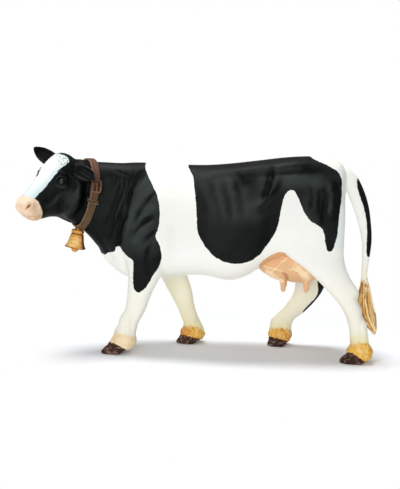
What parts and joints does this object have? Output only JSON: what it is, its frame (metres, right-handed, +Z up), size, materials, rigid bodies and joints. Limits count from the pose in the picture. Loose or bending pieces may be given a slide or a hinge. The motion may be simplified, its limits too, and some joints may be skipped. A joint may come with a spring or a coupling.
{
  "type": "toy farm animal figure",
  "caption": "Walking dairy cow toy figure, black and white, with turned head, strap collar with buckle and bell, udder with teats, split hooves and a hanging tail.",
  "frame": {"origin": "on the ground, under the middle of the figure's box", "axes": "+X toward the tail, -X toward the nose; -Y is the cow's left side, toward which the head turns; +Z up"},
  "size_m": [0.1412, 0.0434, 0.0824],
  "materials": {
    "coat": "satin painted moulding, white with black patches",
    "dark_coat": "satin painted moulding, black",
    "udder": "satin painted moulding, pink with pale veins",
    "strap": "satin painted moulding, brown",
    "buckle": "satin painted moulding, copper red",
    "bell": "gloss painted moulding, gold"
  },
  "bodies": {
    "root": {"torso": "coat", "head": "coat", "ear_left": "dark_coat", "ear_right": "dark_coat", "leg_front_left": "coat", "leg_front_right": "coat", "leg_rear_left": "coat", "leg_rear_right": "coat", "udder": "udder", "tail": "coat", "collar_strap": "strap", "collar_buckle": "buckle", "collar_keeper": "strap", "bell": "bell", "bell_clapper": "bell"}
  },
  "joints": []
}
